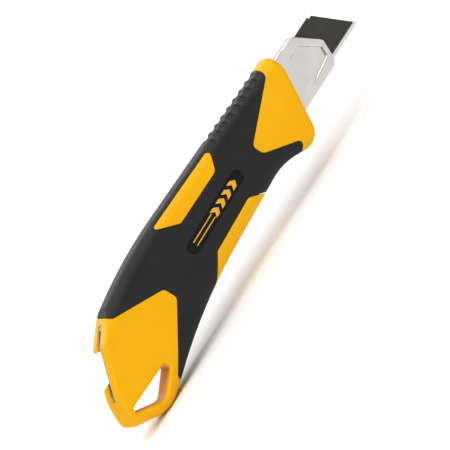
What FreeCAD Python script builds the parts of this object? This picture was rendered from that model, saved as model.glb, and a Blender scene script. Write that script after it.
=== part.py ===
import FreeCAD, Part
import math
import os

import Sketcher

Vector = FreeCAD.Vector

# A wheel-lock utility knife with an 18 mm snap-off blade, in millimetres.
# +X runs forward along the blade, +Y is the slider's side, +Z is the spine.
# The origin is the mouth of the blade holder, on the blade's centre plane and centre line.

doc = FreeCAD.newDocument("utility_knife")
sheet = doc.addObject("Spreadsheet::Sheet", "Sizes")

SIZES = [
    # the handle
    ("handle_length", 166.6, "mouth to butt"),
    ("handle_thickness", 17.0, "over the two broad faces"),
    ("edge_radius", 5.6, "rounding between broad faces and outline"),
    ("hood_wall", 3.4, "blade holder to the spine's corner over the hood"),
    ("crest_wall", 6.9, "blade holder to the spine's highest corner"),
    ("tail_wall", 1.8, "blade holder to the spine's corner over the end cut"),
    ("waist_wall", 3.3, "blade holder to the belly's corner at the first finger"),
    ("guard_wall", 10.9, "blade holder to the finger guard's corner"),
    ("heel_wall", 19.6, "blade holder to the heel's corner"),
    ("hood_rim_radius", 1.8, "rounding of the hood's mouth"),
    ("end_rim_radius", 0.7, "rounding of the end cut"),
    ("end_slant", 0.14, "how much further back the end cut runs per millimetre towards the slider"),
    ("grip_depth", 2.0, "elastomer over the core"),
    ("grip_seam", 0.3, "groove between elastomer and bare core"),
    ("rib_pitch", 4.2, "thumb ribs"),
    ("rib_count", 8, "thumb ribs"),
    ("rib_depth", 0.7, "thumb grooves"),
    ("rib_groove_radius", 2.6, "thumb grooves"),
    ("rib_wrap", 28.0, "how far round the spine's rounding a groove leans, in degrees"),
    ("eye_rim_radius", 1.2, "rounding of the lanyard eye"),
    # the badge
    ("badge_length", 38.0, "over its round ends"),
    ("badge_width", 5.4, "across"),
    ("badge_inset", 0.6, "pocket in the grip"),
    ("badge_proud", 0.15, "above the grip"),
    ("badge_fit", 0.1, "gap round the badge"),
    ("badge_lean", 1.3, "the badge's slope to the blade, in degrees"),
    # the blade
    ("blade_length", 100.0, "tip to tail along the edge"),
    ("blade_width", 18.0, "spine to edge"),
    ("blade_gauge", 0.5, "thickness"),
    ("blade_reach", 20.1, "tip's distance before the mouth"),
    ("blade_drop", 0.1, "blade's play below the centre line"),
    ("nick_length", 1.1, "step in the foremost corner of the spine"),
    ("nick_depth", 1.0, "step in the foremost corner of the spine"),
    ("tip_lean", 9.1, "how far the edge leads the spine at the slanted ends"),
    ("segment_pitch", 10.0, "score lines"),
    ("score_depth", 0.12, "score lines"),
    ("score_width", 0.35, "score lines"),
    ("bevel_width", 1.4, "ground bevel"),
    ("edge_land", 0.04, "half the blade's thickness left at the edge"),
    ("segment_lines", 8, "score lines"),
    ("hook_hole", 6.0, "bore in the blade's tail"),
    ("hook_setback", 8.0, "bore's distance from the blade's tail, on the centre line"),
    ("hook_play", 0.3, "hook pin in the bore, on the radius"),
    ("hook_clearance", 0.1, "hook pin to the channel's web"),
    ("hook_tenon", 3.5, "pin's tenon in the clamp plate, diameter"),
    # the blade holder
    ("holder_sheet", 1.2, "steel sheet"),
    ("holder_side_play", 0.6, "channel wall to blade's edge and spine"),
    ("holder_face_play", 0.15, "channel web to blade's face"),
    ("plate_room", 0.15, "lips above the clamp plate"),
    ("lip_gap", 10.0, "between the lips"),
    ("bend_radius", 0.5, "outside of the folds"),
    ("rim_height", 0.9, "pressed rim round the tip"),
    ("rim_round", 0.3, "rounding of the rim's outer edge"),
    ("rim_slope", 0.75, "rounding of the rim's inner edge"),
    ("rack_pitch", 5.0, "notches in the lower lip"),
    ("rack_radius", 0.8, "notches in the lower lip"),
    ("holder_fit", 0.05, "gap between holder and core"),
    ("holder_setback", 0.2, "channel's end inside the end cut"),
    ("rivet_shank", 3.0, "diameter"),
    ("rivet_depth", 4.0, "shank's length in the core"),
    ("rivet_head", 0.6, "thickness of the sunk head"),
    ("rivet_head_ledge", 1.0, "sunk head beyond the shank"),
    ("rivet_fit", 0.05, "gap round the rivets"),
    ("front_rivet", 38.0, "front rivet behind the mouth"),
    ("rear_rivet", 30.0, "rear rivet before the butt"),
    # the slider and its lock
    ("stud_behind_hook", 12.3, "stud's axis behind the hook pin"),
    ("stud_thread", 5.0, "thread's diameter"),
    ("stud_head", 8.0, "square head"),
    ("stud_head_depth", 0.7, "thickness of the head"),
    ("plate_gauge", 1.5, "clamp plate"),
    ("plate_side_play", 1.1, "channel wall to clamp plate"),
    ("plate_play", 0.2, "clamp plate above the blade"),
    ("plate_front", 22.0, "plate's nose before the stud"),
    ("plate_back", 8.0, "plate's tail behind the stud"),
    ("plate_corner", 1.5, "clamp plate's corners"),
    ("bore_play", 0.2, "bores round the stud, on the diameter"),
    ("seat_play", 0.1, "seat round the stud's square head"),
    ("slide_fit", 0.2, "saddle to slot"),
    ("slot_width", 10.8, "slot in the slider's side"),
    ("slot_front", -27.0, "front end of the slot"),
    ("track_width", 11.8, "shallow track round the slot"),
    ("saddle_length", 24.0, "saddle's stem"),
    ("flange_length", 27.0, "saddle's flange"),
    ("flange_play", 0.2, "flange above the track"),
    ("flange_depth", 1.8, "saddle's flange"),
    ("washer_gauge", 0.5, "each washer"),
    ("washer_diameter", 14.0, "pressure washer"),
    ("washer_crown", 0.2, "spring washer's cone"),
    ("wheel_diameter", 22.0, "over the flutes"),
    ("wheel_height", 5.6, "wheel's body"),
    ("wheel_lift_play", 0.15, "wheel's rim above the saddle"),
    ("recess_play", 0.4, "wheel's recess round the pressure washer"),
    ("flute_count", 20, "finger flutes"),
    ("flute_radius", 1.1, "finger flutes"),
    ("flute_offset", 0.45, "finger flutes' centres outside the rim"),
    ("insert_diameter", 9.0, "brass insert"),
    ("insert_height", 2.3, "brass insert"),
    ("thread_play", 0.1, "insert round the stud, on the diameter"),
    ("cap_diameter", 10.6, "wheel's plug"),
    ("cap_gauge", 0.8, "wheel's plug"),
    ("clip_diameter", 8.0, "retaining clip"),
    ("clip_gauge", 0.5, "retaining clip"),
    ("wheel_lift", 0.6, "wheel's rise when it is loosened"),
    ("close_fit", 0.05, "pieces that touch in use"),
    ("cap_play", 0.15, "stud's end under the plug"),
    ("spring_gauge", 0.3, "click spring's leaf"),
    ("spring_play", 0.1, "click spring to the lip's two faces"),
    ("nib_play", 0.15, "click spring's nib to the rack lip, notch left empty"),
]

for row, (alias, amount, note) in enumerate(SIZES, start=1):
    sheet.set(f"A{row}", alias.replace("_", " "))
    sheet.set(f"B{row}", str(amount))
    sheet.set(f"C{row}", note)
    sheet.setAlias(f"B{row}", alias)
doc.recompute()


def size(alias):
    """The value of one cell of the sheet."""
    return float(getattr(sheet, alias))


def amount_of(expression):
    """The present value of an expression in the sheet's aliases."""
    return float(sheet.evalExpression(in_sheet(expression)))


def in_sheet(expression):
    """An expression with every alias written as the sheet's own cell."""
    words = []
    word = ""
    for letter in str(expression) + " ":
        if letter.isalnum() or letter == "_":
            word += letter
            continue
        words.append(f"Sizes.{word}" if word in ALIASES else word)
        words.append(letter)
        word = ""
    return "".join(words).strip()


ALIASES = {alias for alias, _, _ in SIZES}


# ---------------------------------------------------------------- places worked out from the sizes

# Distances across the thickness, as expressions of the sheet. The blade's mid-plane is Y = 0.
WEB_IN = "-(blade_gauge / 2 + holder_face_play)"
WEB_OUT = f"({WEB_IN} - holder_sheet)"
PLATE_LOW = "(blade_gauge / 2 + plate_play)"
PLATE_TOP = f"({PLATE_LOW} + plate_gauge)"
LIP_IN = f"({PLATE_TOP} + plate_room)"
LIP_OUT = f"({LIP_IN} + holder_sheet)"
CHANNEL_HALF = "(blade_width / 2 + holder_side_play)"
HOLDER_HALF = f"({CHANNEL_HALF} + holder_sheet)"
PLATE_HALF = f"({CHANNEL_HALF} - plate_side_play)"
TRACK_FLOOR = "(handle_thickness / 2 - grip_depth)"
FLANGE_LOW = f"({TRACK_FLOOR} + flange_play)"
FLANGE_TOP = f"({FLANGE_LOW} + flange_depth)"
WASHER_TOP = f"({FLANGE_TOP} + 2 * washer_gauge)"
WHEEL_LOW = f"({FLANGE_TOP} + wheel_lift_play)"
WHEEL_TOP = f"({WHEEL_LOW} + wheel_height)"
INSERT_TOP = f"({WASHER_TOP} + insert_height)"
CAP_LOW = f"({WHEEL_TOP} - cap_gauge)"
CLIP_LOW = f"({INSERT_TOP} + wheel_lift + close_fit)"
CLIP_TOP = f"({CLIP_LOW} + clip_gauge)"
STUD_TOP = f"({CAP_LOW} - cap_play)"
BLADE_TOP = "(blade_width / 2 - blade_drop)"
BLADE_LOW = "(-blade_width / 2 - blade_drop)"
HOOK_X = "(blade_reach - blade_length - tip_lean / 2 + hook_setback)"
STUD_X = f"({HOOK_X} - stud_behind_hook)"
HOOK_TENON = "(hook_tenon / 2)"
CLIP_BORE = "(stud_thread / 2 - 0.35)"

nodes = {}


# ---------------------------------------------------------------- sketches, pads and turned pieces


def new_body(name):
    """A body whose label is the sub-part's name."""
    body = doc.addObject("PartDesign::Body", name)
    body.Label = name
    nodes[name] = body
    return body


def plane_of(body, role):
    """The body's own origin plane of that role."""
    return next(item for item in body.Origin.OriginFeatures if item.Role == role)


def new_sketch(body, role, offset="0"):
    """A sketch on one of the body's origin planes, moved along that plane's normal."""
    sketch = body.newObject("Sketcher::SketchObject", f"{body.Name}_sketch")
    sketch.AttachmentSupport = [(plane_of(body, role), "")]
    sketch.MapMode = "FlatFace"
    sketch.setExpression("AttachmentOffset.Base.z", in_sheet(offset))
    return sketch


def add_polygon(sketch, corners):
    """A closed polygon in a sketch, each corner bound to a pair of expressions."""
    spots = [Vector(amount_of(across), amount_of(up), 0) for across, up in corners]
    first = sketch.GeometryCount
    count = len(corners)
    for index in range(count):
        sketch.addGeometry(Part.LineSegment(spots[index], spots[(index + 1) % count]))
    for index in range(count):
        following = first + (index + 1) % count
        sketch.addConstraint(Sketcher.Constraint("Coincident", first + index, 2, following, 1))
    for index, (across, up) in enumerate(corners):
        for kind, expression in (("DistanceX", across), ("DistanceY", up)):
            constraint = Sketcher.Constraint(kind, first + index, 1, amount_of(expression))
            number = sketch.addConstraint(constraint)
            sketch.setExpression(f"Constraints[{number}]", in_sheet(expression))


def add_circle(sketch, across, up, diameter):
    """A circle in a sketch, its centre and diameter bound to expressions."""
    centre = Vector(amount_of(across), amount_of(up), 0)
    circle = sketch.addGeometry(Part.Circle(centre, Vector(0, 0, 1), amount_of(diameter) / 2))
    for kind, expression in (("DistanceX", across), ("DistanceY", up)):
        number = sketch.addConstraint(Sketcher.Constraint(kind, circle, 3, amount_of(expression)))
        sketch.setExpression(f"Constraints[{number}]", in_sheet(expression))
    number = sketch.addConstraint(Sketcher.Constraint("Diameter", circle, amount_of(diameter)))
    sketch.setExpression(f"Constraints[{number}]", in_sheet(diameter))


def pad(body, sketch, length):
    """The sketch extruded along its plane's normal."""
    feature = body.newObject("PartDesign::Pad", f"{body.Name}_pad")
    feature.Profile = sketch
    feature.setExpression("Length", in_sheet(length))
    doc.recompute()
    return feature


def pocket(body, sketch, length):
    """The sketch cut against its plane's normal, checked to have taken metal off."""
    before = body.Shape.Volume
    feature = body.newObject("PartDesign::Pocket", f"{body.Name}_pocket")
    feature.Profile = sketch
    feature.setExpression("Length", in_sheet(length))
    doc.recompute()
    if body.Shape.Volume >= before - 1e-6:
        raise RuntimeError(f"a pocket in {body.Label} cuts nothing")
    return feature


def side_sketch(body, y_start, corners=None, circles=()):
    """A sketch in X and Z whose normal is -Y, at the height y_start."""
    sketch = new_sketch(body, "XZ_Plane", f"-({y_start})")
    if corners:
        add_polygon(sketch, corners)
    for circle in circles:
        add_circle(sketch, *circle)
    return sketch


def plate(body, y_low, y_high, corners=None, circles=()):
    """Metal between two heights across the thickness, from an outline in X and Z."""
    return pad(body, side_sketch(body, y_high, corners, circles), f"{y_high} - ({y_low})")


def window(body, y_low, y_high, corners=None, circles=()):
    """A cut between two heights across the thickness, from an outline in X and Z."""
    return pocket(body, side_sketch(body, y_low, corners, circles), f"{y_high} - ({y_low})")


def rectangle(back, front, low, high):
    """The four corners of a rectangle."""
    return [(back, low), (front, low), (front, high), (back, high)]


def turned(body, corners):
    """A piece of revolution about Y, from an outline of radius and height."""
    sketch = new_sketch(body, "XY_Plane")
    add_polygon(sketch, corners)
    feature = body.newObject("PartDesign::Revolution", f"{body.Name}_turned")
    feature.Profile = sketch
    feature.ReferenceAxis = (sketch, ["V_Axis"])
    feature.Angle = 360
    doc.recompute()
    return feature


def at_stud(body):
    """Puts a piece that is built about its own Y axis on the stud's axis."""
    body.setExpression("Placement.Base.x", in_sheet(STUD_X))


def edges_of(shape, test):
    """The names of the edges whose middle point passes a test."""
    names = []
    for number, edge in enumerate(shape.Edges, start=1):
        if test(edge, edge.valueAt((edge.FirstParameter + edge.LastParameter) / 2)):
            names.append(f"Edge{number}")
    return names


def round_edges(body, radius, test):
    """A fillet on the edges of the body's shape that pass a test."""
    base = body.Tip
    names = edges_of(body.Shape, test)
    if not names:
        raise RuntimeError(f"no edge of {body.Label} to round")
    feature = body.newObject("PartDesign::Fillet", f"{body.Name}_fillet")
    feature.Base = (base, names)
    feature.setExpression("Radius", in_sheet(radius))
    doc.recompute()
    return feature


# ---------------------------------------------------------------- outlines of the moulded handle


def rounded_wire(corners):
    """A closed wire in the XZ plane of straight runs joined by tangent arcs.

    Each corner is (x, z, radius).
    """
    count = len(corners)
    spots = [Vector(x, 0, z) for x, z, _ in corners]
    starts, ends, middles = [], [], []
    for index, (_, _, radius) in enumerate(corners):
        here = spots[index]
        back = (spots[index - 1] - here).normalize()
        ahead = (spots[(index + 1) % count] - here).normalize()
        half = back.getAngle(ahead) / 2
        reach = radius / math.tan(half)
        bisector = (back + ahead).normalize()
        starts.append(here + back * reach)
        ends.append(here + ahead * reach)
        middles.append(here + bisector * (radius / math.sin(half) - radius))
    edges = []
    for index, (_, _, radius) in enumerate(corners):
        if radius > 0:
            edges.append(Part.Arc(starts[index], middles[index], ends[index]).toShape())
        edges.append(Part.LineSegment(ends[index], starts[(index + 1) % count]).toShape())
    return Part.Wire(edges)


def slab(wire, y_low, y_high, slant=0.0):
    """The space inside a wire of the XZ plane, between two heights across the thickness.

    A slant moves it back by that much for each millimetre of height.
    """
    face = Part.Face(wire)
    face.translate(Vector(-slant * y_low, y_low, 0))
    height = y_high - y_low
    return face.extrude(Vector(-slant * height, height, 0))


def along_y(edge):
    """True for an edge that runs straight across the thickness."""
    ends = edge.Vertexes[-1].Point - edge.Vertexes[0].Point
    return math.hypot(ends.x, ends.z) < 1e-3


def moulded(wire, half, radius):
    """A slab with its two rims rounded."""
    block = slab(wire, -half, half)
    rims = [edge for edge in block.Edges if not along_y(edge)]
    return block.makeFillet(radius, rims)


BUTT = -size("handle_length")
HALF = size("handle_thickness") / 2
MIDDLE = (BUTT - 13) / 2
HOLD = amount_of(HOLDER_HALF)

# The outlines below are corners of x, z and corner radius, seen from the -Y side.
GUARD = Vector(-28.9, 0, -HOLD - size("guard_wall"))
FINGER = Vector(-44.8, 0, -HOLD - size("waist_wall"))
SPINE_FRONT = Vector(2.7, 0, HOLD + size("hood_wall"))
SPINE_CREST = Vector(BUTT + 54.2, 0, HOLD + size("crest_wall"))

# The end cut from the spine down to the heel: distance from the butt, height, corner radius.
END_CUT = [(53.5, 25.0, 0), (20.7, 6.5, 6), (7.3, -9.1, 20), (-2.7, -27.3, 0)]
FIRST_RIB = -22.9
OVER = 35


def handle_outline():
    """The handle seen from its side, before the mouth and the end are cut."""
    beyond = GUARD + (GUARD - FINGER) * 0.46
    return [
        (SPINE_FRONT.x, SPINE_FRONT.z, 8),
        (beyond.x, beyond.z, 8),
        (FINGER.x, FINGER.z, 26),
        (BUTT + 57.1, FINGER.z - 4.1, 220),
        (BUTT + 16.9, -HOLD - size("heel_wall"), 13),
        (BUTT + 0.4, -HOLD - size("heel_wall") + 9.8, 7),
        (BUTT, HOLD + size("tail_wall") - 9.3, 8),
        (BUTT + 26.3, HOLD + size("tail_wall"), 10),
        (SPINE_CREST.x, SPINE_CREST.z, 200),
    ]


def mouth_outline():
    """What the mouth's slanted cut leaves."""
    below = GUARD.z - OVER
    return [
        (-12.5, 40, 0),
        (-13.3, 7.1, 12),
        (GUARD.x, GUARD.z, 8.5),
        (GUARD.x - 9.4, GUARD.z + 4.0, 0),
        (GUARD.x - 9.4, below, 0),
        (BUTT - OVER, below, 0),
        (BUTT - OVER, 40, 0),
    ]


def end_outline():
    """What the end cut leaves, on the blade's mid-plane."""
    below = GUARD.z - OVER
    corners = [(OVER, 40, 0), (OVER, below, 0), (BUTT + END_CUT[-1][0], below, 0)]
    corners += [(BUTT + back, up, radius) for back, up, radius in END_CUT[::-1]]
    return corners + [(BUTT + END_CUT[0][0], 40, 0)]


# The bare core shows in these outlines: hood, rear panel, and a window above and below the badge.
HOOD = [
    (-21.6, OVER, 0),
    (-19.8, 11.5, 3),
    (-46.9, 0.3, 2.5),
    (-46.6, -4.6, 2.5),
    (-32.9, -14.7, 1.8),
    (-41.4, -22.4, 0),
    (-41.4, -OVER, 0),
    (8, -OVER, 0),
    (8, OVER, 0),
]
REAR_PANEL = [
    (BUTT + 26.1, OVER, 0),
    (BUTT + 31.2, 10.0, 4),
    (BUTT + 53.1, -0.9, 2.5),
    (BUTT + 53.4, -6.9, 2.5),
    (BUTT + 28.1, -24.5, 1),
    (BUTT + 27.6, -OVER, 0),
    (BUTT - 8, -OVER, 0),
    (BUTT - 8, OVER, 0),
]
SPINE_WINDOW = [
    (MIDDLE - 7.3, 15.6, 0.8),
    (MIDDLE + 32.3, 14.4, 1.2),
    (MIDDLE + 26.3, 7.5, 3),
    (MIDDLE + 1.6, 7.7, 2.5),
]
BELLY_WINDOW = [
    (MIDDLE - 12.9, -20.4, 0),
    (MIDDLE + 0.7, -10.6, 2),
    (MIDDLE + 25.3, -9.3, 1.8),
    (MIDDLE + 33.6, -16.5, 0),
    (MIDDLE + 33.6, -OVER, 0),
    (MIDDLE - 12.9, -OVER, 0),
]
LANYARD_EYE = [
    (BUTT + 3.6, -16.3, 1.5),
    (BUTT + 34.9, -17.1, 1.8),
    (BUTT + 17.7, -25.6, 4.5),
]


def lies_on(face, wire, slant):
    """True for a face that stands across the thickness on a wire of the XZ plane."""
    first, last, low, high = face.ParameterRange
    spot = face.valueAt((first + last) / 2, (low + high) / 2)
    foot = Part.Vertex(spot.x + slant * spot.y, 0, spot.z)
    return foot.distToShape(wire)[0] < 1e-3


def rim_edges(block, wire, test, slant=0.0):
    """The outer edges of the band of faces that a cut along a wire has left."""
    seen = {}
    for face in block.Faces:
        if not lies_on(face, wire, slant):
            continue
        for edge in face.Edges:
            middle = edge.valueAt((edge.FirstParameter + edge.LastParameter) / 2)
            key = (round(middle.x, 3), round(middle.y, 3), round(middle.z, 3))
            seen.setdefault(key, []).append(edge)
    return [edges[0] for edges in seen.values() if len(edges) == 1 and test(edges[0])]


def handle_shell():
    """The whole handle's outside, core and elastomer together, with its lanyard eye."""
    reach = HALF + 5
    slant = size("end_slant")
    block = moulded(rounded_wire(handle_outline()), HALF, size("edge_radius"))
    mouth = rounded_wire(mouth_outline())
    end = rounded_wire(end_outline())
    block = block.common(slab(mouth, -reach, reach)).common(slab(end, -reach, reach, slant)).Solids[0]
    rims = rim_edges(block, mouth, lambda edge: edge.CenterOfMass.x > MIDDLE)
    block = block.makeFillet(size("hood_rim_radius"), rims)
    rims = rim_edges(block, end, lambda edge: edge.CenterOfMass.x < MIDDLE, slant)
    block = block.makeFillet(size("end_rim_radius"), rims)
    eye = rounded_wire(LANYARD_EYE)
    block = block.cut(slab(eye, -reach, reach)).Solids[0]
    rims = rim_edges(block, eye, lambda edge: not along_y(edge))
    return block.makeFillet(size("eye_rim_radius"), rims)


def under_grip():
    """The core's surface below the elastomer."""
    depth = size("grip_depth")
    outline = rounded_wire(handle_outline()).makeOffset2D(-depth)
    return moulded(outline, HALF - depth, size("edge_radius") - depth)


def bare_regions(grow=0.0):
    """The space of the four outlines where the core shows, grown by a groove's width."""
    spaces = []
    for corners in (HOOD, REAR_PANEL, SPINE_WINDOW, BELLY_WINDOW):
        wire = rounded_wire(corners)
        if grow > 0:
            wire = wire.makeOffset2D(grow)
        spaces.append(slab(wire, -HALF - 3, HALF + 3))
    return spaces


def spine_height(x):
    """The straight stretch of the spine that carries the thumb ribs."""
    share = (x - SPINE_FRONT.x) / (SPINE_CREST.x - SPINE_FRONT.x)
    return SPINE_FRONT.z + share * (SPINE_CREST.z - SPINE_FRONT.z)


def thumb_grooves():
    """Cutters that wrap over the spine between the thumb ribs."""
    radius = size("rib_groove_radius")
    depth = size("rib_depth")
    edge = size("edge_radius")
    wrap = math.radians(size("rib_wrap"))
    cutters = []
    for index in range(int(size("rib_count"))):
        x = FIRST_RIB - index * size("rib_pitch")
        top = spine_height(x)
        over = Vector(x, -HALF, top + radius - depth)
        cutters.append(Part.makeCylinder(radius, 2 * HALF, over, Vector(0, 1, 0)))
        for side in (-1, 1):
            centre = Vector(x, side * (HALF - edge), top - edge)
            outward = Vector(0, side * math.sin(wrap), math.cos(wrap))
            along = Vector(0, side * math.cos(wrap), -math.sin(wrap))
            start = centre + outward * (edge - depth + radius) - along * edge
            cutters.append(Part.makeCylinder(radius, 2 * edge, start, along))
    return cutters


def channel_space():
    """The room in the core for the blade holder, open at both ends."""
    gap = size("holder_fit")
    half = HOLD + gap
    low = amount_of(WEB_OUT) - gap
    high = amount_of(LIP_OUT) + gap
    length = size("handle_length") + 2 * OVER
    return Part.makeBox(length, high - low, 2 * half, Vector(BUTT - OVER, low, -half))


def run_out(front, half):
    """The outline of a slot with a round front end, open past the butt."""
    nose = half * 0.95
    back = BUTT - OVER
    return rounded_wire([(back, -half, 0), (front, -half, nose), (front, half, nose), (back, half, 0)])


def track_space():
    """The slot for the saddle's stem and the shallow track for its flange, both open at the end."""
    slot_half = size("slot_width") / 2
    track_half = size("track_width") / 2
    front = size("slot_front")
    slot = run_out(front, slot_half)
    track = run_out(front + track_half - slot_half, track_half)
    floor = amount_of(TRACK_FLOOR)
    return slab(slot, 0, HALF + 5).fuse(slab(track, floor, HALF + 5))


# The rivets' axes along the channel, clear of the blade's tail bore.
RIVET_PLACES = ("-front_rivet", "rear_rivet - handle_length")


def moulding(name, shape):
    """A moulded piece whose shape is made above from the sheet's sizes."""
    if shape.ShapeType != "Solid":
        shape = shape.Solids[0] if len(shape.Solids) == 1 else shape
    piece = doc.addObject("Part::Feature", name)
    piece.Label = name
    piece.Shape = shape
    nodes[name] = piece
    return piece


# ---------------------------------------------------------------- handle core, grip and badge

shell = handle_shell()
inner = under_grip()
track = track_space()


def badge_outline(grow=0.0):
    """A stadium on the grip's broad face."""
    lean = math.radians(size("badge_lean"))
    along = Vector(math.cos(lean), 0, math.sin(lean))
    across = Vector(-along.z, 0, along.x)
    centre = Vector(MIDDLE + 13.0, 0, -1.3)
    half = size("badge_width") / 2 + grow
    reach = size("badge_length") / 2 + grow
    corners = []
    for way, side in ((-1, -1), (1, -1), (1, 1), (-1, 1)):
        spot = centre + along * (way * reach) + across * (side * half)
        corners.append((spot.x, spot.z, half * 0.999))
    return rounded_wire(corners)


def handle_core():
    """The hard moulding: hood, guard, windows, rear panel, and the body under the elastomer."""
    core = inner.common(shell)
    for space in bare_regions():
        core = core.fuse(shell.common(space))
    core = core.cut([channel_space(), track])
    shank = size("rivet_shank") / 2
    deep = amount_of(WEB_OUT) - size("rivet_depth")
    for place in RIVET_PLACES:
        foot = Vector(amount_of(place), deep, 0)
        core = core.cut(Part.makeCylinder(shank, HALF, foot, Vector(0, 1, 0)))
    return core


def grip_overmould():
    """The elastomer skin between the bare outlines."""
    skin = shell.cut(inner)
    skin = skin.cut(bare_regions(size("grip_seam")) + [track] + thumb_grooves())
    floor = -HALF + size("badge_inset")
    return skin.cut(slab(badge_outline(size("badge_fit")), -HALF - 2, floor))


def badge():
    """The glossy inlay, standing a little proud of the grip."""
    low = -HALF - size("badge_proud")
    inlay = slab(badge_outline(), low, -HALF + size("badge_inset"))
    rims = [edge for edge in inlay.Edges if not along_y(edge) and edge.CenterOfMass.y < low + 0.01]
    return inlay.makeFillet(size("badge_proud") * 0.9, rims)


moulding("handle_core", handle_core())
moulding("grip_overmould", grip_overmould())
moulding("badge", badge())


# ---------------------------------------------------------------- blade holder and its rivets


def pattern_along(body, feature, sketch, count, pitch):
    """Copies of a feature, running back along the handle."""
    pattern = body.newObject("PartDesign::LinearPattern", f"{body.Name}_row")
    pattern.Originals = [feature]
    pattern.Direction = (sketch, ["H_Axis"])
    pattern.Reversed = True
    pattern.Occurrences = count
    pattern.setExpression("Length", in_sheet(f"{count - 1} * {pitch}"))
    body.Tip = pattern
    doc.recompute()
    return pattern


HOLDER_TIP = [
    ("-0.9", HOLDER_HALF),
    ("0.4", f"{HOLDER_HALF} - 2.1"),
    ("6.0", "-0.8"),
    ("2.4", f"1.9 - {HOLDER_HALF}"),
    ("0.6", f"-{HOLDER_HALF}"),
]
RIM_BACK = ("-11.4", "-10.3")
RIM_INSIDE = [
    (RIM_BACK[0], f"2.2 - {HOLDER_HALF}"),
    ("-7.6", f"4.0 - {HOLDER_HALF}"),
    ("1.2", f"5.1 - {HOLDER_HALF}"),
    ("2.9", "-1.6"),
    ("-2.5", f"{HOLDER_HALF} - 4.4"),
    (RIM_BACK[1], f"{HOLDER_HALF} - 5.5"),
]
RIM_OUTSIDE = [
    (RIM_BACK[0], f"bend_radius - {HOLDER_HALF}"),
    ("0.8", f"bend_radius - {HOLDER_HALF}"),
    HOLDER_TIP[3],
    HOLDER_TIP[2],
    HOLDER_TIP[1],
    ("-0.6", f"{HOLDER_HALF} - bend_radius"),
    (RIM_BACK[1], f"{HOLDER_HALF} - bend_radius"),
]
RIM_RAMP = 3.6
NOTCHES_AHEAD = 11
NOTCH_COUNT = 23


def upright(edge):
    """True for an edge that runs across the thickness, in a body's own frame."""
    ends = edge.Vertexes[-1].Point - edge.Vertexes[0].Point
    return math.hypot(ends.x, ends.z) < 1e-3 < abs(ends.y)


def near_corner(point, corners, reach=0.2):
    """True for a point above one of the corners of an outline."""
    for across, up in corners:
        if math.hypot(point.x - amount_of(across), point.z - amount_of(up)) < reach:
            return True
    return False


def ramp_off(body, back, low, high):
    """Slopes the end of one leg of the rim down to the sheet."""
    sketch = new_sketch(body, "XY_Plane", high)
    outer = f"{WEB_OUT} - 2 * rim_height"
    add_polygon(sketch, [
        (f"{back} - 1", WEB_OUT),
        (back, WEB_OUT),
        (f"{back} + {RIM_RAMP}", f"{WEB_OUT} - rim_height"),
        (f"{back} + {RIM_RAMP}", outer),
        (f"{back} - 1", outer),
    ])
    pocket(body, sketch, f"{high} - ({low})")


def build_blade_holder():
    """A folded channel with two lips, its tip cut to a blunt arrow with a pressed rim."""
    body = new_body("blade_holder")
    section = [
        (WEB_OUT, f"-{HOLDER_HALF}"),
        (LIP_OUT, f"-{HOLDER_HALF}"),
        (LIP_OUT, "-lip_gap / 2"),
        (LIP_IN, "-lip_gap / 2"),
        (LIP_IN, f"-{CHANNEL_HALF}"),
        (WEB_IN, f"-{CHANNEL_HALF}"),
        (WEB_IN, CHANNEL_HALF),
        (LIP_IN, CHANNEL_HALF),
        (LIP_IN, "lip_gap / 2"),
        (LIP_OUT, "lip_gap / 2"),
        (LIP_OUT, HOLDER_HALF),
        (WEB_OUT, HOLDER_HALF),
    ]
    sketch = new_sketch(body, "YZ_Plane", "-handle_length - 10")
    add_polygon(sketch, section)
    pad(body, sketch, "handle_length + 20")
    folds = lambda edge, at: edge.Length > 100 and abs(abs(at.z) - HOLD) < 1e-3
    round_edges(body, "bend_radius", folds)
    low = f"{WEB_OUT} - 2"
    high = f"{LIP_OUT} + 2"
    above = [("-0.9", f"{HOLDER_HALF} + 2"), ("14", f"{HOLDER_HALF} + 2")]
    below = [("14", f"-{HOLDER_HALF} - 2"), ("0.6", f"-{HOLDER_HALF} - 2")]
    window(body, low, high, above + below + HOLDER_TIP[::-1])
    end = []
    for back, up, _ in END_CUT:
        end.append((f"{back} - handle_length + holder_setback", f"{up} - holder_setback"))
    behind = "-handle_length - 30"
    window(body, low, high, end + [(behind, end[-1][1]), (behind, end[0][1])])
    plate(body, f"{WEB_OUT} - rim_height", WEB_OUT, RIM_OUTSIDE + RIM_INSIDE[::-1])
    nose = lambda edge, at: upright(edge) and near_corner(at, HOLDER_TIP[2:3])
    round_edges(body, "2.5", nose)
    inner_corners = lambda edge, at: upright(edge) and near_corner(at, RIM_INSIDE[1:5])
    round_edges(body, "1.2", inner_corners)
    crest = amount_of(WEB_OUT) - size("rim_height")
    inner_line = Part.makePolygon([Vector(amount_of(x), crest, amount_of(z)) for x, z in RIM_INSIDE])
    sloped = lambda edge, at: abs(at.y - crest) < 1e-3 and Part.Vertex(at).distToShape(inner_line)[0] < 0.6
    round_edges(body, "rim_slope", sloped)
    crisp = lambda edge, at: abs(at.y - crest) < 1e-3 and Part.Vertex(at).distToShape(inner_line)[0] > 1
    round_edges(body, "rim_round", crisp)
    ramp_off(body, RIM_BACK[0], f"-{HOLDER_HALF} - 1", "0")
    ramp_off(body, RIM_BACK[1], "0", f"{HOLDER_HALF} + 1")
    for place in RIVET_PLACES:
        window(body, low, high, circles=[(place, "0", "rivet_shank + 2 * rivet_fit")])
        sunk = "rivet_shank + 2 * (rivet_head_ledge + rivet_fit)"
        window(body, f"{WEB_IN} - rivet_head", WEB_IN, circles=[(place, "0", sunk)])
    first = f"{STUD_X} + {NOTCHES_AHEAD} * rack_pitch"
    notch = side_sketch(body, LIP_IN, circles=[(first, "-lip_gap / 2", "2 * rack_radius")])
    cut = pocket(body, notch, f"{LIP_OUT} - {LIP_IN}")
    pattern_along(body, cut, notch, NOTCH_COUNT, "rack_pitch")


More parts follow.
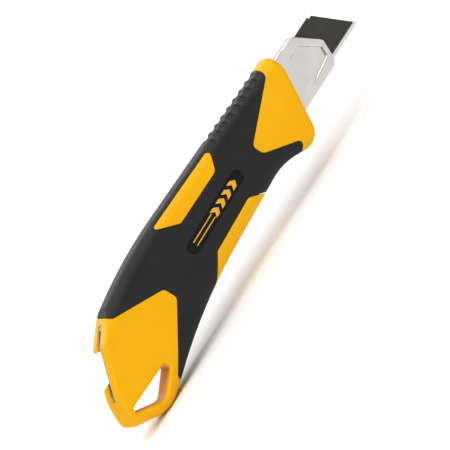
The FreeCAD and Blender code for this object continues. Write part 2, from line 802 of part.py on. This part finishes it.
def build_channel_rivets():
    """Two flush rivets from the channel's web into the core."""
    rivets = []
    for index, place in enumerate(RIVET_PLACES, start=1):
        shank = doc.addObject("Part::Cylinder", f"rivet_shank_{index}")
        shank.setExpression("Radius", in_sheet("rivet_shank / 2"))
        shank.setExpression("Height", in_sheet("rivet_depth + holder_sheet - rivet_head"))
        head = doc.addObject("Part::Cylinder", f"rivet_head_{index}")
        head.setExpression("Radius", in_sheet("rivet_shank / 2 + rivet_head_ledge"))
        head.setExpression("Height", in_sheet("rivet_head"))
        for piece, level in ((shank, f"{WEB_OUT} - rivet_depth"), (head, f"{WEB_IN} - rivet_head")):
            piece.Placement.Rotation = FreeCAD.Rotation(Vector(1, 0, 0), -90)
            piece.setExpression("Placement.Base.x", in_sheet(place))
            piece.setExpression("Placement.Base.y", in_sheet(level))
        rivet = doc.addObject("Part::Fuse", f"rivet_{index}")
        rivet.Base = shank
        rivet.Tool = head
        rivets.append(rivet)
    group = doc.addObject("Part::Compound", "channel_rivets")
    group.Label = "channel_rivets"
    group.Links = rivets
    nodes["channel_rivets"] = group


# ---------------------------------------------------------------- blade


def build_blade():
    """A snap-off blade: slanted ends, ground bevel, score lines on the slider's side, tail bore."""
    body = new_body("blade")
    back = "blade_reach - blade_length"
    nick = "blade_reach - tip_lean - nick_length"
    outline = [
        ("blade_reach", BLADE_LOW),
        ("blade_reach - tip_lean * (1 - nick_depth / blade_width)", f"{BLADE_TOP} - nick_depth"),
        (nick, f"{BLADE_TOP} - nick_depth"),
        (nick, BLADE_TOP),
        (f"{back} - tip_lean", BLADE_TOP),
        (back, BLADE_LOW),
    ]
    plate(body, "-blade_gauge / 2", "blade_gauge / 2", outline)
    window(body, "-blade_gauge", "blade_gauge", circles=[(HOOK_X, "0", "hook_hole")])
    for side in ("", "-"):
        sketch = new_sketch(body, "YZ_Plane", "blade_reach + 5")
        land = [
            (f"{side}(blade_gauge / 2)", f"{BLADE_LOW} + bevel_width"),
            (f"{side}edge_land", BLADE_LOW),
            (f"{side}edge_land", f"{BLADE_LOW} - 1"),
            (f"{side}blade_gauge", f"{BLADE_LOW} - 1"),
            (f"{side}blade_gauge", f"{BLADE_LOW} + bevel_width"),
        ]
        add_polygon(sketch, land)
        pocket(body, sketch, "2 * blade_length")
    front = "blade_reach - segment_pitch"
    score = [
        (f"{front}", BLADE_LOW),
        (f"{front} + score_width", BLADE_LOW),
        (f"{front} + score_width - tip_lean", BLADE_TOP),
        (f"{front} - tip_lean", BLADE_TOP),
    ]
    line = side_sketch(body, "blade_gauge / 2 - score_depth", score)
    cut = pocket(body, line, "score_depth")
    pattern_along(body, cut, line, int(size("segment_lines")), "segment_pitch")


# ---------------------------------------------------------------- slider


def build_clamp_plate():
    """A steel plate in the channel, over the blade's tail."""
    body = new_body("clamp_plate")
    outline = rectangle(f"{STUD_X} - plate_back", f"{STUD_X} + plate_front", f"-{PLATE_HALF}", PLATE_HALF)
    plate(body, PLATE_LOW, PLATE_TOP, outline)
    window(body, PLATE_LOW, PLATE_TOP, circles=[(STUD_X, "0", "stud_thread + bore_play")])
    side = "(stud_head / 2 + seat_play)"
    seat = rectangle(f"{STUD_X} - {side}", f"{STUD_X} + {side}", f"-{side}", side)
    window(body, PLATE_LOW, f"{PLATE_LOW} + stud_head_depth + seat_play", seat)
    window(body, PLATE_LOW, PLATE_TOP, circles=[(HOOK_X, "0", f"2 * {HOOK_TENON}")])
    edge_height = amount_of(PLATE_HALF)
    corners = lambda edge, at: upright(edge) and abs(abs(at.z) - edge_height) < 1e-3
    round_edges(body, "plate_corner", corners)


def build_hook_pin():
    """A shouldered pin: its tenon is riveted in the plate, its foot fills the blade's tail bore."""
    body = new_body("hook_pin")
    foot = "(hook_hole / 2 - hook_play)"
    low = f"{WEB_IN} + hook_clearance"
    turned(body, [
        ("0", low),
        (foot, low),
        (foot, PLATE_LOW),
        (HOOK_TENON, PLATE_LOW),
        (HOOK_TENON, PLATE_TOP),
        ("0", PLATE_TOP),
    ])
    body.setExpression("Placement.Base.x", in_sheet(HOOK_X))


def build_lock_stud():
    """A square-headed stud with a clip groove near its end."""
    body = new_body("lock_stud")
    shank = "(stud_thread / 2)"
    groove = f"({CLIP_BORE} - close_fit)"
    seat = f"({PLATE_LOW} + close_fit)"
    turned(body, [
        ("0", seat),
        (shank, seat),
        (shank, CLIP_LOW),
        (groove, CLIP_LOW),
        (groove, CLIP_TOP),
        (f"{shank} - 0.15", CLIP_TOP),
        (f"{shank} - 0.4", STUD_TOP),
        ("0", STUD_TOP),
    ])
    half = "(stud_head / 2)"
    plate(body, seat, f"{seat} + stud_head_depth", rectangle(f"-{half}", half, f"-{half}", half))
    at_stud(body)


def build_slider_saddle():
    """The plastic saddle: a tongue between the lips, a stem in the slot, a flange in the track."""
    body = new_body("slider_saddle")
    stem_half = "(saddle_length / 2)"
    stem_wide = "(slot_width / 2 - slide_fit)"
    flange_half = "(flange_length / 2)"
    flange_wide = "(track_width / 2 - slide_fit)"
    tongue_half = "(saddle_length / 2 - 4.5)"
    tongue_wide = "(lip_gap / 2 - slide_fit)"
    tongue_low = f"({PLATE_TOP} + plate_room)"
    lip_top = f"({LIP_OUT} + close_fit)"
    stem = rectangle(f"-{stem_half}", stem_half, f"-{stem_wide}", stem_wide)
    plate(body, lip_top, FLANGE_LOW, stem)
    stem_edge = amount_of(stem_wide)
    round_edges(body, "4.4", lambda edge, at: upright(edge) and abs(abs(at.z) - stem_edge) < 1e-3)
    flange = rectangle(f"-{flange_half}", flange_half, f"-{flange_wide}", flange_wide)
    plate(body, FLANGE_LOW, FLANGE_TOP, flange)
    flange_edge = amount_of(flange_wide)
    round_edges(body, "4.8", lambda edge, at: upright(edge) and abs(abs(at.z) - flange_edge) < 1e-3)
    rim = amount_of(FLANGE_TOP)
    round_edges(body, "0.5", lambda edge, at: abs(at.y - rim) < 1e-3)
    tongue = rectangle(f"-{tongue_half}", tongue_half, f"-{tongue_wide}", tongue_wide)
    plate(body, tongue_low, lip_top, tongue)
    window(body, tongue_low, FLANGE_TOP, circles=[("0", "0", "stud_thread + 2 * bore_play")])
    pocket_low = f"-{tongue_wide} - 0.5"
    window(body, tongue_low, lip_top, rectangle("-7", "7", pocket_low, f"2.2 - {tongue_wide}"))
    at_stud(body)


def build_click_spring():
    """A leaf spring in the tongue's pocket, its nib towards the rack."""
    body = new_body("click_spring")
    nib = "(nib_play - lip_gap / 2)"
    knee = f"({nib} + 0.8)"
    seat = f"({nib} + 1.6)"
    lower = [("-6.5", seat), ("-1.4", knee), ("0", nib), ("1.4", knee), ("6.5", seat)]
    upper = [(across, f"{up} + spring_gauge") for across, up in lower[::-1]]
    plate(body, f"{LIP_IN} + spring_play", f"{LIP_OUT} - spring_play", lower + upper)
    at_stud(body)


# ---------------------------------------------------------------- washers, wheel and cap


def build_ring(name, inner, outer, low, high, crown="0"):
    """A washer; a crown above nought makes it a cone."""
    body = new_body(name)
    turned(body, [
        (inner, f"{low} + {crown}"),
        (outer, low),
        (outer, f"{high} - {crown}"),
        (inner, high),
    ])
    at_stud(body)
    return body


def build_retaining_clip():
    """An open ring in the stud's groove."""
    body = build_ring("retaining_clip", CLIP_BORE, "clip_diameter / 2", CLIP_LOW, CLIP_TOP)
    mouth = rectangle("0", "clip_diameter", f"-{CLIP_BORE}", CLIP_BORE)
    window(body, f"{CLIP_LOW} - 0.1", f"{CLIP_TOP} + 0.1", mouth)


def build_lock_wheel():
    """The fluted wheel: washer recess below, bore for the insert, seat for the cap on top."""
    body = new_body("lock_wheel")
    outer = "(wheel_diameter / 2)"
    bore = "(insert_diameter / 2)"
    recess = "(washer_diameter / 2 + recess_play)"
    cap = "(cap_diameter / 2)"
    turned(body, [
        (bore, WASHER_TOP),
        (recess, WASHER_TOP),
        (recess, WHEEL_LOW),
        (f"{outer} - 0.5", WHEEL_LOW),
        (outer, f"{WHEEL_LOW} + 0.5"),
        (outer, f"{WHEEL_TOP} - 1.1"),
        (f"{outer} - 0.4", f"{WHEEL_TOP} - 0.4"),
        (f"{outer} - 1.3", WHEEL_TOP),
        (cap, WHEEL_TOP),
        (cap, CAP_LOW),
        (bore, CAP_LOW),
    ])
    flute_ring = [(f"{outer} + flute_offset", "0", "2 * flute_radius")]
    flute = side_sketch(body, f"{WHEEL_LOW} - 1", circles=flute_ring)
    cut = pocket(body, flute, "wheel_height + 2")
    pattern = body.newObject("PartDesign::PolarPattern", "lock_wheel_flutes")
    pattern.Originals = [cut]
    pattern.Axis = (flute, ["N_Axis"])
    pattern.Angle = 360
    pattern.Occurrences = int(size("flute_count"))
    body.Tip = pattern
    doc.recompute()
    at_stud(body)


def build_wheel_cap():
    """A low domed plug in the wheel's face."""
    body = new_body("wheel_cap")
    rim = "(cap_diameter / 2 - close_fit)"
    turned(body, [
        ("0", CAP_LOW),
        (rim, CAP_LOW),
        (rim, WHEEL_TOP),
        (f"{rim} - 0.7", f"{WHEEL_TOP} + 0.25"),
        ("0", f"{WHEEL_TOP} + 0.35"),
    ])
    at_stud(body)


build_blade_holder()
build_channel_rivets()
build_blade()
build_clamp_plate()
build_hook_pin()
build_lock_stud()
build_slider_saddle()
build_click_spring()
spring_top = f"{FLANGE_TOP} + washer_gauge"
washer_bore = "stud_thread / 2 + bore_play"
build_ring("spring_washer", washer_bore, "insert_diameter / 2 + 0.3", FLANGE_TOP, spring_top, "washer_crown")
build_ring("pressure_washer", washer_bore, "washer_diameter / 2", spring_top, WASHER_TOP)
build_retaining_clip()
build_lock_wheel()
build_ring("wheel_insert", "stud_thread / 2 + thread_play / 2", "insert_diameter / 2", WASHER_TOP, INSERT_TOP)
build_wheel_cap()


# ---------------------------------------------------------------- checks and files

doc.recompute()
for item in doc.Objects:
    if {"Invalid", "Error"} & set(item.State):
        raise RuntimeError(f"{item.Label} failed: {item.State}")
os.makedirs("parts", exist_ok=True)
for name, node in nodes.items():
    shape = node.Shape
    if shape.isNull() or not shape.isValid() or shape.Volume <= 0:
        raise RuntimeError(f"{name} has no valid solid")
    shape.exportStep(f"parts/{name}.step")
    print(f"{name}: {len(shape.Solids)} solid, {shape.Volume:.1f} mm3")
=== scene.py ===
import math

import bpy
from mathutils import Matrix, Vector


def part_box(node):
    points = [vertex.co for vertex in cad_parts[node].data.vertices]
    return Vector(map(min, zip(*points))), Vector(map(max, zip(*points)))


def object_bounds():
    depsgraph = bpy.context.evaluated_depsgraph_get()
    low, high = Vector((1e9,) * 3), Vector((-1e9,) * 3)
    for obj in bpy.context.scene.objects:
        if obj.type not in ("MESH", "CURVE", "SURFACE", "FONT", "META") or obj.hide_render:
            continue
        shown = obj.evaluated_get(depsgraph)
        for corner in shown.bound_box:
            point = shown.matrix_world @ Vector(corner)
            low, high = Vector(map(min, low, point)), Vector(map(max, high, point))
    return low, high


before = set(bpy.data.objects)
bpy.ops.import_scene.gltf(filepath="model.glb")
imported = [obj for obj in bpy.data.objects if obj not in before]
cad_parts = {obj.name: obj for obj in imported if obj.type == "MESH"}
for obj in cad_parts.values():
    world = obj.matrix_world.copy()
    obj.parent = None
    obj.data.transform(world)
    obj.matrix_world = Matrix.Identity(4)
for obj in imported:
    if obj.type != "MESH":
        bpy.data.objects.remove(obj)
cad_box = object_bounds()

# The looks of a wheel-lock utility knife. The frame is the knife's own, in metres: +X runs
# forward along the blade, +Y is the slider's side and +Z the spine. Every piece is a solid of
# the frame and keeps its shape; this script gives each one its finish, and sets up the studio.

MM = 0.001
WHITE = (1.0, 1.0, 1.0, 1.0)
COLOUR = {"data_type": "RGBA"}

BEVEL_WIDTH = 1.4 * MM
BADGE_WIDTH = 5.4 * MM
CHEVRON_PITCH = 4.2 * MM
CHEVRON_REACH = 1.75 * MM   # from the badge's middle line
CHEVRON_SLOPE = 0.9
CHEVRON_SHARE = 0.55        # of each pitch that is printed
CHEVRON_COUNT = 4.0
RULE_OFFSET = 0.95 * MM     # from the badge's middle line
RULE_HALF_WIDTH = 0.22 * MM
RULE_MARGIN = 4.0 * MM      # from the badge's rear end
RULE_END = -1.5 * MM        # from the badge's middle

FLOOR_REACH = 60.0
WORLD_STRENGTH = 0.15

VIEW_AZIMUTH = math.radians(-10.49)
VIEW_ELEVATION = math.radians(10.10)
VIEW_ROLL = math.radians(-55.18)
VIEW_DISTANCE = 2.00
VIEW_WIDTH = 176.470588 * MM
VIEW_AIM = (-0.0774, -0.0009, -0.0087)


# ---------------------------------------------------------------- colours and nodes


def linear(code):
    """An sRGB hex colour as linear red, green, blue and a full alpha."""
    shares = [int(code[start:start + 2], 16) / 255 for start in (1, 3, 5)]
    return [s / 12.92 if s <= 0.04045 else ((s + 0.055) / 1.055) ** 2.4 for s in shares] + [1.0]


def per(millimetres):
    """The texture scale whose features are that many millimetres apart."""
    return 1 / (millimetres * MM)


def join(tree, node, links):
    """Fills a node's sockets, by name or number: with a value, or from another node's output."""
    sockets = [socket for socket in node.inputs if socket.enabled]
    for name, value in links.items():
        socket = sockets[name] if isinstance(name, int) else next(s for s in sockets if s.name == name)
        if isinstance(value, bpy.types.Node):
            value = next(output for output in value.outputs if output.enabled)
        if isinstance(value, bpy.types.NodeSocket):
            tree.links.new(value, socket)
        else:
            socket.default_value = value


def add(tree, kind, settings=None, links=None):
    """Adds a shader node with its settings and its links."""
    node = tree.nodes.new("ShaderNode" + kind)
    for name, value in (settings or {}).items():
        setattr(node, name, value)
    join(tree, node, links or {})
    return node


def begin(name):
    """A new material: itself, its nodes, its Principled shader and the point on the piece."""
    material = bpy.data.materials.new(name)
    material.use_nodes = True
    tree = material.node_tree
    where = add(tree, "TexCoord").outputs["Object"]
    return material, tree, tree.nodes["Principled BSDF"], where


# ---------------------------------------------------------------- finishes


def moulded_nylon(name, colour, deeper):
    """Glass-filled nylon, injection moulded: a satin skin, faint flow clouds and a fine spark grain."""
    material, tree, shader, where = begin(name)
    drawn = add(tree, "Mapping", {}, {"Vector": where, "Scale": (0.5, 1, 1)})
    flow = add(tree, "TexNoise", {}, {"Vector": drawn, "Scale": per(22.0), "Detail": 3.0})
    share = add(tree, "MapRange", {}, {"Value": flow, "From Min": 0.35, "From Max": 0.65})
    shade = add(tree, "Mix", COLOUR, {"Factor": share, "A": linear(colour), "B": linear(deeper)})
    grain = add(tree, "TexNoise", {}, {"Vector": where, "Scale": per(0.45), "Detail": 2.0})
    satin = add(tree, "MapRange", {}, {"Value": grain, "To Min": 0.34, "To Max": 0.48})
    relief = add(tree, "Bump", {}, {"Height": grain, "Distance": 0.012 * MM})
    join(tree, shader, {"Base Color": shade, "Roughness": satin, "Normal": relief,
                        "IOR": 1.53, "Specular IOR Level": 0.12})
    return material


def overmoulded_elastomer():
    """Soft black elastomer, moulded on a grained tool: matt, with a broad weak gloss."""
    material, tree, shader, where = begin("overmoulded_elastomer")
    cloud = add(tree, "TexNoise", {}, {"Vector": where, "Scale": per(9.0), "Detail": 3.0})
    share = add(tree, "MapRange", {}, {"Value": cloud, "From Min": 0.35, "From Max": 0.65})
    shade = add(tree, "Mix", COLOUR, {"Factor": share, "A": linear("#151516"), "B": linear("#1B1B1C")})
    matt = add(tree, "MapRange", {}, {"Value": cloud, "To Min": 0.48, "To Max": 0.60})
    # The tool's grain is about 0.2 mm across; it is drawn at 0.5 mm so that it shows.
    cells = add(tree, "TexVoronoi", {"feature": "SMOOTH_F1"}, {"Vector": where, "Scale": per(0.5)})
    relief = add(tree, "Bump", {}, {"Height": cells, "Distance": 0.03 * MM})
    join(tree, shader, {"Base Color": shade, "Roughness": matt, "Normal": relief,
                        "IOR": 1.5, "Specular IOR Level": 0.3})
    return material


def blackened_blade():
    """Blackened carbon steel, ground bright along the edge: dark faces, a pale bevel with cross lines."""
    material, tree, shader, where = begin("blackened_blade_steel")
    low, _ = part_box("blade")
    height = add(tree, "SeparateXYZ", {}, {"Vector": where}).outputs["Z"]
    ground = add(tree, "Math", {"operation": "LESS_THAN"}, {0: height, 1: low.z + BEVEL_WIDTH})
    cloud = add(tree, "TexNoise", {}, {"Vector": where, "Scale": per(6.0), "Detail": 3.0})
    dark = add(tree, "Mix", COLOUR, {"Factor": cloud, "A": linear("#42413D"), "B": linear("#4C4B47")})
    upright = add(tree, "Mapping", {}, {"Vector": where, "Scale": (1, 1, 0.03)})
    lines = add(tree, "TexNoise", {}, {"Vector": upright, "Scale": per(0.25), "Detail": 3.0})
    bright = add(tree, "Mix", COLOUR, {"Factor": lines, "A": linear("#BDBCB7"), "B": linear("#D2D1CC")})
    shade = add(tree, "Mix", COLOUR, {"Factor": ground, "A": dark, "B": bright})
    fine = add(tree, "TexNoise", {}, {"Vector": where, "Scale": per(0.3), "Detail": 3.0})
    coat = add(tree, "MapRange", {}, {"Value": fine, "To Min": 0.36, "To Max": 0.54})
    stone = add(tree, "MapRange", {}, {"Value": lines, "To Min": 0.16, "To Max": 0.40})
    rough = add(tree, "Mix", {}, {"Factor": ground, "A": coat, "B": stone})
    relief = add(tree, "Bump", {}, {"Height": lines, "Distance": 0.004 * MM})
    join(tree, shader, {"Base Color": shade, "Roughness": rough, "Normal": relief, "Metallic": 1.0})
    return material


def rolled_steel(name, colour, deeper, gloss, along=(0.02, 1, 1)):
    """Steel sheet or bar with a satin skin: drawn lines one way, and a soft gloss."""
    material, tree, shader, where = begin(name)
    drawn = add(tree, "Mapping", {}, {"Vector": where, "Scale": along})
    lines = add(tree, "TexNoise", {}, {"Vector": drawn, "Scale": per(0.22), "Detail": 3.0})
    cloud = add(tree, "TexNoise", {}, {"Vector": where, "Scale": per(7.0), "Detail": 3.0})
    share = add(tree, "MapRange", {}, {"Value": cloud, "From Min": 0.35, "From Max": 0.65})
    shade = add(tree, "Mix", COLOUR, {"Factor": share, "A": linear(colour), "B": linear(deeper)})
    rough = add(tree, "MapRange", {}, {"Value": lines, "To Min": gloss - 0.06, "To Max": gloss + 0.14})
    relief = add(tree, "Bump", {}, {"Height": lines, "Distance": 0.003 * MM})
    join(tree, shader, {"Base Color": shade, "Roughness": rough, "Normal": relief, "Metallic": 1.0})
    return material


def printed_badge():
    """A black inlay, pad printed in yellow: plain chevrons on its front half, two thin rules behind."""
    material, tree, shader, where = begin("printed_gloss_inlay")
    low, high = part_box("badge")
    middle = (low + high) / 2
    lean = (high.z - low.z - BADGE_WIDTH) / (high.x - low.x - BADGE_WIDTH)
    place = add(tree, "SeparateXYZ", {}, {"Vector": where})
    along = add(tree, "Math", {"operation": "SUBTRACT"}, {0: place.outputs["X"], 1: middle.x})
    rise = add(tree, "Math", {"operation": "MULTIPLY"}, {0: along, 1: lean})
    level = add(tree, "Math", {"operation": "SUBTRACT"}, {0: place.outputs["Z"], 1: middle.z})
    turned = add(tree, "Math", {"operation": "SUBTRACT"}, {0: level, 1: rise})
    across = add(tree, "Math", {"operation": "ABSOLUTE"}, {0: turned})
    # Chevrons: the distance along plus the distance from the middle line repeats at a pitch.
    slope = add(tree, "Math", {"operation": "MULTIPLY"}, {0: across, 1: CHEVRON_SLOPE})
    ramp = add(tree, "Math", {"operation": "ADD"}, {0: along, 1: slope})
    turns = add(tree, "Math", {"operation": "DIVIDE"}, {0: ramp, 1: CHEVRON_PITCH})
    saw = add(tree, "Math", {"operation": "FRACT"}, {0: turns})
    stripe = add(tree, "Math", {"operation": "LESS_THAN"}, {0: saw, 1: CHEVRON_SHARE})
    inside = add(tree, "Math", {"operation": "LESS_THAN"}, {0: across, 1: CHEVRON_REACH})
    ahead = add(tree, "Math", {"operation": "GREATER_THAN"}, {0: turns, 1: 0.0})
    short = add(tree, "Math", {"operation": "LESS_THAN"}, {0: turns, 1: CHEVRON_COUNT})
    barred = add(tree, "Math", {"operation": "MULTIPLY"}, {0: stripe, 1: inside})
    front = add(tree, "Math", {"operation": "MULTIPLY"}, {0: ahead, 1: short})
    chevrons = add(tree, "Math", {"operation": "MULTIPLY"}, {0: barred, 1: front})
    # The rules: one each side of the middle line, on the rear half.
    offset = add(tree, "Math", {"operation": "SUBTRACT"}, {0: across, 1: RULE_OFFSET})
    gap = add(tree, "Math", {"operation": "ABSOLUTE"}, {0: offset})
    rule = add(tree, "Math", {"operation": "LESS_THAN"}, {0: gap, 1: RULE_HALF_WIDTH})
    rear_end = low.x - middle.x
    started = add(tree, "Math", {"operation": "GREATER_THAN"}, {0: along, 1: rear_end + RULE_MARGIN})
    ended = add(tree, "Math", {"operation": "LESS_THAN"}, {0: along, 1: RULE_END})
    rear = add(tree, "Math", {"operation": "MULTIPLY"}, {0: started, 1: ended})
    rules = add(tree, "Math", {"operation": "MULTIPLY"}, {0: rule, 1: rear})
    printed = add(tree, "Math", {"operation": "MAXIMUM"}, {0: chevrons, 1: rules})
    speckle = add(tree, "TexNoise", {}, {"Vector": where, "Scale": per(0.8), "Detail": 3.0})
    ink = add(tree, "Mix", COLOUR, {"Factor": speckle, "A": linear("#DFA11C"), "B": linear("#EDB52A")})
    shade = add(tree, "Mix", COLOUR, {"Factor": printed, "A": linear("#0B0B0B"), "B": ink})
    rough = add(tree, "MapRange", {}, {"Value": speckle, "To Min": 0.16, "To Max": 0.34})
    relief = add(tree, "Bump", {}, {"Height": speckle, "Distance": 0.003 * MM})
    join(tree, shader, {"Base Color": shade, "Roughness": rough, "Normal": relief,
                        "IOR": 1.5, "Specular IOR Level": 0.1,
                        "Coat Weight": 0.08, "Coat Roughness": 0.06})
    return material


def turned_brass():
    """Free-cutting brass from the lathe: warm yellow, with fine rings about the stud."""
    material, tree, shader, where = begin("turned_brass")
    low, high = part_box("wheel_insert")
    axis = (low + high) / 2
    centred = add(tree, "Mapping", {}, {"Vector": where, "Location": (-axis.x, 0, -axis.z)})
    rings = add(tree, "TexWave", {"wave_type": "RINGS", "rings_direction": "Y"}, {
        "Vector": centred, "Scale": per(0.3) / (2 * math.pi), "Distortion": 0.5}).outputs["Fac"]
    cloud = add(tree, "TexNoise", {}, {"Vector": where, "Scale": per(3.0), "Detail": 3.0})
    shade = add(tree, "Mix", COLOUR, {"Factor": cloud, "A": linear("#C7A154"), "B": linear("#D6B468")})
    rough = add(tree, "MapRange", {}, {"Value": rings, "To Min": 0.26, "To Max": 0.36})
    relief = add(tree, "Bump", {}, {"Height": rings, "Distance": 0.004 * MM})
    join(tree, shader, {"Base Color": shade, "Roughness": rough, "Normal": relief, "Metallic": 1.0})
    return material


FINISHES = {
    "handle_core": moulded_nylon("moulded_nylon_yellow", "#F3B400", "#F0AD00"),
    "grip_overmould": overmoulded_elastomer(),
    "badge": printed_badge(),
    "blade_holder": rolled_steel("satin_stainless_sheet", "#CFCCC7", "#D6D3CF", 0.26),
    "channel_rivets": rolled_steel("headed_steel_rivet", "#B4B4B1", "#C2C2BF", 0.34),
    "blade": blackened_blade(),
    "clamp_plate": rolled_steel("bright_steel_plate", "#B9B9B6", "#C6C6C3", 0.30),
    "hook_pin": rolled_steel("turned_steel_pin", "#ADADAB", "#BBBBB8", 0.28),
    "lock_stud": rolled_steel("zinc_plated_stud", "#BFC1C1", "#CBCCCA", 0.30, (1, 0.05, 1)),
    "slider_saddle": moulded_nylon("moulded_nylon_black", "#1B1B1C", "#212122"),
    "click_spring": rolled_steel("blued_spring_steel", "#8D8E90", "#9A9B9C", 0.26),
    "spring_washer": rolled_steel("phosphated_spring_washer", "#8A8A88", "#979794", 0.34),
    "pressure_washer": rolled_steel("polished_washer", "#BDBDBA", "#CACAC7", 0.24),
    "retaining_clip": rolled_steel("phosphated_clip", "#77777A", "#858587", 0.34),
    "lock_wheel": moulded_nylon("moulded_wheel_black", "#1E1E1F", "#242425"),
    "wheel_insert": turned_brass(),
    "wheel_cap": moulded_nylon("moulded_cap_yellow", "#F3B400", "#F0AD00"),
}

for node, material in FINISHES.items():
    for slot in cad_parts[node].material_slots:
        slot.material = material


# ---------------------------------------------------------------- studio


def floor():
    """A wide pale floor that the knife stands on, far larger than any view of it."""
    mesh = bpy.data.meshes.new("studio_floor")
    level = cad_box[0][2]
    signs = ((-1, -1), (1, -1), (1, 1), (-1, 1))
    corners = [(x * FLOOR_REACH, y * FLOOR_REACH, level) for x, y in signs]
    mesh.from_pydata(corners, [], [(0, 1, 2, 3)])
    piece = bpy.data.objects.new("studio_floor", mesh)
    bpy.context.scene.collection.objects.link(piece)
    material, tree, shader, where = begin("matt_white_floor")
    cloud = add(tree, "TexNoise", {}, {"Vector": where, "Scale": per(400.0), "Detail": 3.0})
    shade = add(tree, "Mix", COLOUR, {"Factor": cloud, "A": linear("#F6F6F6"), "B": linear("#FAFAFA")})
    join(tree, shader, {"Base Color": shade, "Roughness": 0.9})
    mesh.materials.append(material)


def softbox(name, place_at, aim, width, height, power):
    """A rectangular soft light at a point, turned to face another."""
    lamp = bpy.data.lights.new(name, "AREA")
    lamp.shape = "RECTANGLE"
    lamp.size = width
    lamp.size_y = height
    lamp.energy = power
    piece = bpy.data.objects.new(name, lamp)
    piece.location = place_at
    piece.rotation_euler = (Vector(aim) - Vector(place_at)).to_track_quat("-Z", "Y").to_euler()
    bpy.context.scene.collection.objects.link(piece)


def camera(azimuth, elevation, roll, distance, width, aim):
    """A long lens that looks at a point; width is how much it takes in at that point."""
    lens = bpy.data.cameras.new("camera")
    lens.sensor_width = 36.0
    lens.lens = distance * lens.sensor_width / width
    lens.clip_start = 0.05
    lens.clip_end = 500.0
    back = Vector((math.sin(azimuth) * math.cos(elevation), -math.cos(azimuth) * math.cos(elevation),
                   math.sin(elevation)))
    level = Vector((0, 0, 1)).cross(back).normalized()
    upright = back.cross(level)
    right = math.cos(roll) * level + math.sin(roll) * upright
    up = back.cross(right)
    piece = bpy.data.objects.new("camera", lens)
    axes = Matrix((right, up, back)).transposed().to_4x4()
    piece.matrix_world = Matrix.Translation(Vector(aim) + back * distance) @ axes
    bpy.context.scene.collection.objects.link(piece)
    bpy.context.scene.camera = piece


def skylight(name, towards, spread, power):
    """A very soft distant light from a direction, as wide as a roof light or a large scrim."""
    lamp = bpy.data.lights.new(name, "SUN")
    lamp.energy = power
    lamp.angle = math.radians(spread)
    piece = bpy.data.objects.new(name, lamp)
    piece.rotation_euler = (-Vector(towards)).to_track_quat("-Z", "Y").to_euler()
    bpy.context.scene.collection.objects.link(piece)


def studio():
    """Plain soft light from above, with a weak soft box on the slider's side."""
    world = bpy.data.worlds.new("studio")
    world.use_nodes = True
    world.node_tree.nodes["Background"].inputs["Color"].default_value = WHITE
    world.node_tree.nodes["Background"].inputs["Strength"].default_value = WORLD_STRENGTH
    bpy.context.scene.world = world
    skylight("roof_scrim", (-0.15, -0.36, 0.92), 90, 3.2)
    middle = (-0.075, 0, 0)
    softbox("slider_side_box", (0.0, 0.9, 0.7), middle, 0.8, 0.8, 5.0)
    bpy.context.scene.view_settings.view_transform = "Standard"


floor()
studio()
camera(VIEW_AZIMUTH, VIEW_ELEVATION, VIEW_ROLL, VIEW_DISTANCE, VIEW_WIDTH, VIEW_AIM)
